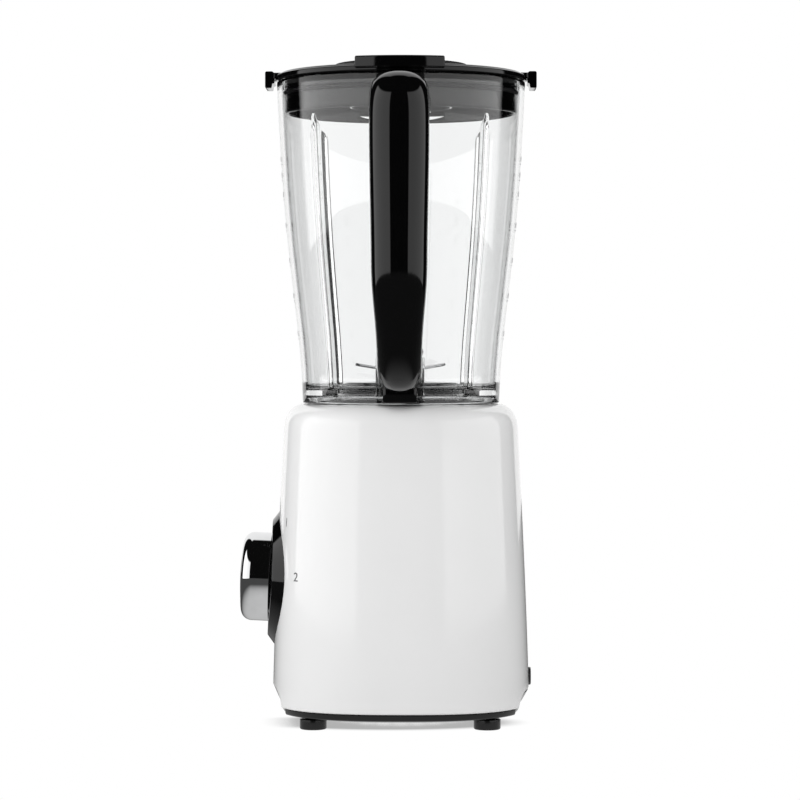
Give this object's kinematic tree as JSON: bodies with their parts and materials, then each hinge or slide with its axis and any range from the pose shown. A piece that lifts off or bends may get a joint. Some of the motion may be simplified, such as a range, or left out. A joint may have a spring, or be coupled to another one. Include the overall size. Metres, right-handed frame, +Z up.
{
  "type": "countertop blender",
  "caption": "Countertop blender: squarish motor base with a front dial, clear lift-off jug with side handle and ribs, blade unit, and a lid with a filler cap.",
  "frame": {"origin": "middle of the whole object's footprint, on the worktop; the drive axis stands at x = 7.5 mm, y = 17.6 mm", "axes": "+Z up along the drive axis; the dial faces -X, the jug's handle -Y and its spout +Y"},
  "size_m": [0.1762, 0.202, 0.3879],
  "materials": {
    "white_plastic": "high gloss white",
    "black_plastic": "high gloss black",
    "dark_plastic": "moulded, satin",
    "clear_plastic": "clear, polished",
    "rubber": "moulded rubber",
    "silicone": "silicone",
    "chrome": "bright chrome plate",
    "steel": "ground stainless steel",
    "cast_alloy": "die cast",
    "copper": "enamelled copper wire and bars",
    "lamination": "stacked steel sheets",
    "carbon": "pressed carbon",
    "print_white": "white inlay"
  },
  "bodies": {
    "base": {"housing": "white_plastic", "base_plate": "black_plastic", "foot_1": "rubber", "foot_2": "rubber", "foot_3": "rubber", "foot_4": "rubber", "plate_screw_1": "steel", "plate_screw_2": "steel", "plate_screw_3": "steel", "plate_screw_4": "steel", "cord_gland": "dark_plastic", "knob_bezel": "black_plastic", "rotary_switch": "dark_plastic", "stator_core": "lamination", "field_coil_front": "copper", "field_coil_rear": "copper", "upper_bearing_bracket": "cast_alloy", "lower_bearing_bracket": "cast_alloy", "upper_bearing": "steel", "lower_bearing": "steel", "brush_holder_1": "dark_plastic", "brush_holder_2": "dark_plastic", "carbon_brush_1": "carbon", "carbon_brush_2": "carbon", "motor_mount_1": "rubber", "motor_mount_2": "rubber", "motor_mount_3": "rubber", "motor_mount_4": "rubber", "drip_guard": "silicone", "interlock_switch": "dark_plastic"},
    "rotor": {"motor_shaft": "steel", "armature_core": "lamination", "armature_winding_top": "copper", "armature_winding_bottom": "copper", "commutator": "copper", "cooling_fan": "dark_plastic", "drive_coupling": "dark_plastic"},
    "dial": {"knob_shell": "chrome", "knob_core": "dark_plastic", "knob_pointer": "print_white", "switch_spindle": "steel"},
    "interlock": {"interlock_pin": "dark_plastic"},
    "jug": {"jug": "clear_plastic", "collar": "black_plastic", "blade_carrier": "black_plastic", "blade_seal": "silicone", "blade_bush": "cast_alloy", "handle_grip": "black_plastic", "handle_liner": "dark_plastic", "handle_screw_1": "steel", "handle_screw_2": "steel"},
    "blades": {"blade_shaft": "steel", "thrust_washer": "steel", "driven_coupling": "dark_plastic", "lower_blade": "steel", "upper_blade": "steel", "blade_nut": "steel"},
    "lid": {"lid": "black_plastic", "lid_seal": "silicone"},
    "cap": {"filler_cap": "black_plastic"}
  },
  "joints": [
    {"name": "rotor_spin", "type": "hinge", "parent": "base", "child": "rotor", "pos_m": [0.00751, 0.0176, 0.12], "axis": [0, 0, 1], "continuous": true},
    {"name": "dial_turn", "type": "hinge", "parent": "base", "child": "dial", "pos_m": [-0.06993, 0.0176, 0.0844], "axis": [-0.9989, 0, 0.0471], "range_deg": [-90, 45]},
    {"name": "jug_lift", "type": "slide", "parent": "base", "child": "jug", "axis": [0, 0, 1], "range_m": [0, 0.06]},
    {"name": "interlock_travel", "type": "slide", "parent": "base", "child": "interlock", "axis": [0, 0, 1], "range_m": [0, 0.003]},
    {"name": "blade_spin", "type": "hinge", "parent": "jug", "child": "blades", "pos_m": [0.00751, 0.0176, 0.2], "axis": [0, 0, 1], "continuous": true},
    {"name": "lid_lift", "type": "slide", "parent": "jug", "child": "lid", "axis": [0, 0, 1], "range_m": [0, 0.05]},
    {"name": "cap_lift", "type": "slide", "parent": "lid", "child": "cap", "axis": [0, 0, 1], "range_m": [0, 0.04]}
  ],
  "couplings": [
    {"joint": "blade_spin", "follows": "rotor_spin", "ratio": 1},
    {"joint": "interlock_travel", "follows": "jug_lift", "ratio": 0.05}
  ]
}
